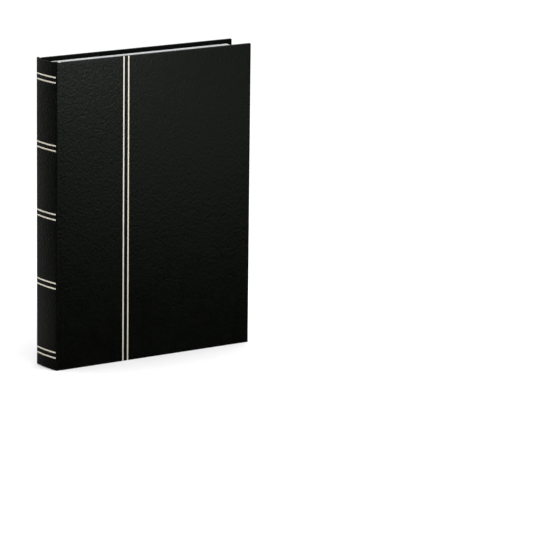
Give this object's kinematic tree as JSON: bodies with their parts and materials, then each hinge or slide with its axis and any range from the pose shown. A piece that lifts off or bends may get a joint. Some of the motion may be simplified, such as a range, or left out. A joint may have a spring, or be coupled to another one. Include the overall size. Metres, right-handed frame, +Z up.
{
  "type": "stamp album",
  "caption": "Hard-bound stamp stockbook with a black leatherette case, gold lines, white pocket-strip leaves and glassine interleaves; covers and leaves turn open",
  "frame": {"origin": "middle of the album's bottom, on the surface it stands on", "axes": "+Z up along the spine, +X from the spine to the fore edge, +Y from the front cover to the back cover"},
  "size_m": [0.23, 0.0366, 0.305],
  "materials": {
    "covering": "fine-grained black leatherette, satin, with gold-stamped lines",
    "grey_board": "grey board",
    "lining_paper": "matt white lining paper",
    "block_lining": "creped white lining",
    "linen": "white linen tape",
    "leaf_card": "smooth white card",
    "pocket_glassine": "translucent glassine strip",
    "interleaf_glassine": "translucent glassine sheet"
  },
  "bodies": {
    "spine": {"spine_board": "grey_board", "spine_leather": "covering", "front_joint_leather": "covering", "back_joint_leather": "covering", "back_lining": "block_lining", "front_linen_hinges": "linen", "back_linen_hinges": "linen"},
    "front_cover": {"front_board": "grey_board", "front_cover_leather": "covering", "front_endpaper": "lining_paper"},
    "back_cover": {"back_board": "grey_board", "back_cover_leather": "covering", "back_endpaper": "lining_paper"},
    "leaf_01": {"leaf_01": "leaf_card", "pockets_01": "pocket_glassine"},
    "leaf_02": {"leaf_02": "leaf_card", "pockets_02": "pocket_glassine"},
    "leaf_03": {"leaf_03": "leaf_card", "pockets_03": "pocket_glassine"},
    "leaf_04": {"leaf_04": "leaf_card", "pockets_04": "pocket_glassine"},
    "leaf_05": {"leaf_05": "leaf_card", "pockets_05": "pocket_glassine"},
    "leaf_06": {"leaf_06": "leaf_card", "pockets_06": "pocket_glassine"},
    "leaf_07": {"leaf_07": "leaf_card", "pockets_07": "pocket_glassine"},
    "leaf_08": {"leaf_08": "leaf_card", "pockets_08": "pocket_glassine"},
    "leaf_09": {"leaf_09": "leaf_card", "pockets_09": "pocket_glassine"},
    "leaf_10": {"leaf_10": "leaf_card", "pockets_10": "pocket_glassine"},
    "leaf_11": {"leaf_11": "leaf_card", "pockets_11": "pocket_glassine"},
    "leaf_12": {"leaf_12": "leaf_card", "pockets_12": "pocket_glassine"},
    "leaf_13": {"leaf_13": "leaf_card", "pockets_13": "pocket_glassine"},
    "leaf_14": {"leaf_14": "leaf_card", "pockets_14": "pocket_glassine"},
    "leaf_15": {"leaf_15": "leaf_card", "pockets_15": "pocket_glassine"},
    "leaf_16": {"leaf_16": "leaf_card", "pockets_16": "pocket_glassine"},
    "interleaf_01": {"interleaf_01": "interleaf_glassine"},
    "interleaf_02": {"interleaf_02": "interleaf_glassine"},
    "interleaf_03": {"interleaf_03": "interleaf_glassine"},
    "interleaf_04": {"interleaf_04": "interleaf_glassine"},
    "interleaf_05": {"interleaf_05": "interleaf_glassine"},
    "interleaf_06": {"interleaf_06": "interleaf_glassine"},
    "interleaf_07": {"interleaf_07": "interleaf_glassine"},
    "interleaf_08": {"interleaf_08": "interleaf_glassine"},
    "interleaf_09": {"interleaf_09": "interleaf_glassine"},
    "interleaf_10": {"interleaf_10": "interleaf_glassine"},
    "interleaf_11": {"interleaf_11": "interleaf_glassine"},
    "interleaf_12": {"interleaf_12": "interleaf_glassine"},
    "interleaf_13": {"interleaf_13": "interleaf_glassine"},
    "interleaf_14": {"interleaf_14": "interleaf_glassine"},
    "interleaf_15": {"interleaf_15": "interleaf_glassine"}
  },
  "joints": [
    {"name": "front_cover_hinge", "type": "hinge", "parent": "spine", "child": "front_cover", "pos_m": [-0.1103, -0.0166, 0.1525], "axis": [0, 0, -1], "range_deg": [0, 90], "deforming": ["front_joint_leather", "front_linen_hinges", "back_lining"]},
    {"name": "back_cover_hinge", "type": "hinge", "parent": "spine", "child": "back_cover", "pos_m": [-0.1103, 0.0166, 0.1525], "axis": [0, 0, 1], "range_deg": [0, 90], "deforming": ["back_joint_leather", "back_linen_hinges"]},
    {"name": "leaf_01_hinge", "type": "hinge", "parent": "spine", "child": "leaf_01", "pos_m": [-0.10515, -0.01145, 0.1525], "axis": [0, 0, -1], "range_deg": [0, 90]},
    {"name": "leaf_02_hinge", "type": "hinge", "parent": "spine", "child": "leaf_02", "pos_m": [-0.10469, -0.01099, 0.1525], "axis": [0, 0, -1], "range_deg": [0, 90]},
    {"name": "leaf_03_hinge", "type": "hinge", "parent": "spine", "child": "leaf_03", "pos_m": [-0.10424, -0.01054, 0.1525], "axis": [0, 0, -1], "range_deg": [0, 90]},
    {"name": "leaf_04_hinge", "type": "hinge", "parent": "spine", "child": "leaf_04", "pos_m": [-0.10378, -0.01008, 0.1525], "axis": [0, 0, -1], "range_deg": [0, 90]},
    {"name": "leaf_05_hinge", "type": "hinge", "parent": "spine", "child": "leaf_05", "pos_m": [-0.10332, -0.00962, 0.1525], "axis": [0, 0, -1], "range_deg": [0, 90]},
    {"name": "leaf_06_hinge", "type": "hinge", "parent": "spine", "child": "leaf_06", "pos_m": [-0.10286, -0.00916, 0.1525], "axis": [0, 0, -1], "range_deg": [0, 90]},
    {"name": "leaf_07_hinge", "type": "hinge", "parent": "spine", "child": "leaf_07", "pos_m": [-0.10241, -0.00871, 0.1525], "axis": [0, 0, -1], "range_deg": [0, 90]},
    {"name": "leaf_08_hinge", "type": "hinge", "parent": "spine", "child": "leaf_08", "pos_m": [-0.10195, -0.00825, 0.1525], "axis": [0, 0, -1], "range_deg": [0, 90]},
    {"name": "leaf_09_hinge", "type": "hinge", "parent": "spine", "child": "leaf_09", "pos_m": [-0.10195, 0.00825, 0.1525], "axis": [0, 0, 1], "range_deg": [0, 90]},
    {"name": "leaf_10_hinge", "type": "hinge", "parent": "spine", "child": "leaf_10", "pos_m": [-0.10241, 0.00871, 0.1525], "axis": [0, 0, 1], "range_deg": [0, 90]},
    {"name": "leaf_11_hinge", "type": "hinge", "parent": "spine", "child": "leaf_11", "pos_m": [-0.10286, 0.00916, 0.1525], "axis": [0, 0, 1], "range_deg": [0, 90]},
    {"name": "leaf_12_hinge", "type": "hinge", "parent": "spine", "child": "leaf_12", "pos_m": [-0.10332, 0.00962, 0.1525], "axis": [0, 0, 1], "range_deg": [0, 90]},
    {"name": "leaf_13_hinge", "type": "hinge", "parent": "spine", "child": "leaf_13", "pos_m": [-0.10378, 0.01008, 0.1525], "axis": [0, 0, 1], "range_deg": [0, 90]},
    {"name": "leaf_14_hinge", "type": "hinge", "parent": "spine", "child": "leaf_14", "pos_m": [-0.10424, 0.01054, 0.1525], "axis": [0, 0, 1], "range_deg": [0, 90]},
    {"name": "leaf_15_hinge", "type": "hinge", "parent": "spine", "child": "leaf_15", "pos_m": [-0.10469, 0.01099, 0.1525], "axis": [0, 0, 1], "range_deg": [0, 90]},
    {"name": "leaf_16_hinge", "type": "hinge", "parent": "spine", "child": "leaf_16", "pos_m": [-0.10515, 0.01145, 0.1525], "axis": [0, 0, 1], "range_deg": [0, 90]},
    {"name": "interleaf_01_hinge", "type": "hinge", "parent": "spine", "child": "interleaf_01", "pos_m": [-0.10492, -0.01122, 0.1525], "axis": [0, 0, -1], "range_deg": [0, 90]},
    {"name": "interleaf_02_hinge", "type": "hinge", "parent": "spine", "child": "interleaf_02", "pos_m": [-0.10446, -0.01076, 0.1525], "axis": [0, 0, -1], "range_deg": [0, 90]},
    {"name": "interleaf_03_hinge", "type": "hinge", "parent": "spine", "child": "interleaf_03", "pos_m": [-0.10401, -0.01031, 0.1525], "axis": [0, 0, -1], "range_deg": [0, 90]},
    {"name": "interleaf_04_hinge", "type": "hinge", "parent": "spine", "child": "interleaf_04", "pos_m": [-0.10355, -0.00985, 0.1525], "axis": [0, 0, -1], "range_deg": [0, 90]},
    {"name": "interleaf_05_hinge", "type": "hinge", "parent": "spine", "child": "interleaf_05", "pos_m": [-0.10309, -0.00939, 0.1525], "axis": [0, 0, -1], "range_deg": [0, 90]},
    {"name": "interleaf_06_hinge", "type": "hinge", "parent": "spine", "child": "interleaf_06", "pos_m": [-0.10264, -0.00894, 0.1525], "axis": [0, 0, -1], "range_deg": [0, 90]},
    {"name": "interleaf_07_hinge", "type": "hinge", "parent": "spine", "child": "interleaf_07", "pos_m": [-0.10218, -0.00848, 0.1525], "axis": [0, 0, -1], "range_deg": [0, 90]},
    {"name": "interleaf_08_hinge", "type": "hinge", "parent": "spine", "child": "interleaf_08", "pos_m": [-0.10195, 0.00825, 0.1525], "axis": [0, 0, 1], "range_deg": [0, 90]},
    {"name": "interleaf_09_hinge", "type": "hinge", "parent": "spine", "child": "interleaf_09", "pos_m": [-0.10218, 0.00848, 0.1525], "axis": [0, 0, 1], "range_deg": [0, 90]},
    {"name": "interleaf_10_hinge", "type": "hinge", "parent": "spine", "child": "interleaf_10", "pos_m": [-0.10264, 0.00894, 0.1525], "axis": [0, 0, 1], "range_deg": [0, 90]},
    {"name": "interleaf_11_hinge", "type": "hinge", "parent": "spine", "child": "interleaf_11", "pos_m": [-0.10309, 0.00939, 0.1525], "axis": [0, 0, 1], "range_deg": [0, 90]},
    {"name": "interleaf_12_hinge", "type": "hinge", "parent": "spine", "child": "interleaf_12", "pos_m": [-0.10355, 0.00985, 0.1525], "axis": [0, 0, 1], "range_deg": [0, 90]},
    {"name": "interleaf_13_hinge", "type": "hinge", "parent": "spine", "child": "interleaf_13", "pos_m": [-0.10401, 0.01031, 0.1525], "axis": [0, 0, 1], "range_deg": [0, 90]},
    {"name": "interleaf_14_hinge", "type": "hinge", "parent": "spine", "child": "interleaf_14", "pos_m": [-0.10446, 0.01076, 0.1525], "axis": [0, 0, 1], "range_deg": [0, 90]},
    {"name": "interleaf_15_hinge", "type": "hinge", "parent": "spine", "child": "interleaf_15", "pos_m": [-0.10492, 0.01122, 0.1525], "axis": [0, 0, 1], "range_deg": [0, 90]}
  ],
  "couplings": [
    {"joint": "leaf_01_hinge", "follows": "front_cover_hinge", "ratio": 0.998},
    {"joint": "leaf_02_hinge", "follows": "front_cover_hinge", "ratio": 0.994},
    {"joint": "leaf_03_hinge", "follows": "front_cover_hinge", "ratio": 0.99},
    {"joint": "leaf_04_hinge", "follows": "front_cover_hinge", "ratio": 0.986},
    {"joint": "leaf_05_hinge", "follows": "front_cover_hinge", "ratio": 0.982},
    {"joint": "leaf_06_hinge", "follows": "front_cover_hinge", "ratio": 0.978},
    {"joint": "leaf_07_hinge", "follows": "front_cover_hinge", "ratio": 0.974},
    {"joint": "leaf_08_hinge", "follows": "front_cover_hinge", "ratio": 0.97},
    {"joint": "leaf_09_hinge", "follows": "back_cover_hinge", "ratio": 0.97},
    {"joint": "leaf_10_hinge", "follows": "back_cover_hinge", "ratio": 0.974},
    {"joint": "leaf_11_hinge", "follows": "back_cover_hinge", "ratio": 0.978},
    {"joint": "leaf_12_hinge", "follows": "back_cover_hinge", "ratio": 0.982},
    {"joint": "leaf_13_hinge", "follows": "back_cover_hinge", "ratio": 0.986},
    {"joint": "leaf_14_hinge", "follows": "back_cover_hinge", "ratio": 0.99},
    {"joint": "leaf_15_hinge", "follows": "back_cover_hinge", "ratio": 0.994},
    {"joint": "leaf_16_hinge", "follows": "back_cover_hinge", "ratio": 0.998},
    {"joint": "interleaf_01_hinge", "follows": "front_cover_hinge", "ratio": 0.996},
    {"joint": "interleaf_02_hinge", "follows": "front_cover_hinge", "ratio": 0.992},
    {"joint": "interleaf_03_hinge", "follows": "front_cover_hinge", "ratio": 0.988},
    {"joint": "interleaf_04_hinge", "follows": "front_cover_hinge", "ratio": 0.984},
    {"joint": "interleaf_05_hinge", "follows": "front_cover_hinge", "ratio": 0.98},
    {"joint": "interleaf_06_hinge", "follows": "front_cover_hinge", "ratio": 0.976},
    {"joint": "interleaf_07_hinge", "follows": "front_cover_hinge", "ratio": 0.972},
    {"joint": "interleaf_08_hinge", "follows": "back_cover_hinge", "ratio": 0.45},
    {"joint": "interleaf_09_hinge", "follows": "back_cover_hinge", "ratio": 0.972},
    {"joint": "interleaf_10_hinge", "follows": "back_cover_hinge", "ratio": 0.976},
    {"joint": "interleaf_11_hinge", "follows": "back_cover_hinge", "ratio": 0.98},
    {"joint": "interleaf_12_hinge", "follows": "back_cover_hinge", "ratio": 0.984},
    {"joint": "interleaf_13_hinge", "follows": "back_cover_hinge", "ratio": 0.988},
    {"joint": "interleaf_14_hinge", "follows": "back_cover_hinge", "ratio": 0.992},
    {"joint": "interleaf_15_hinge", "follows": "back_cover_hinge", "ratio": 0.996}
  ]
}
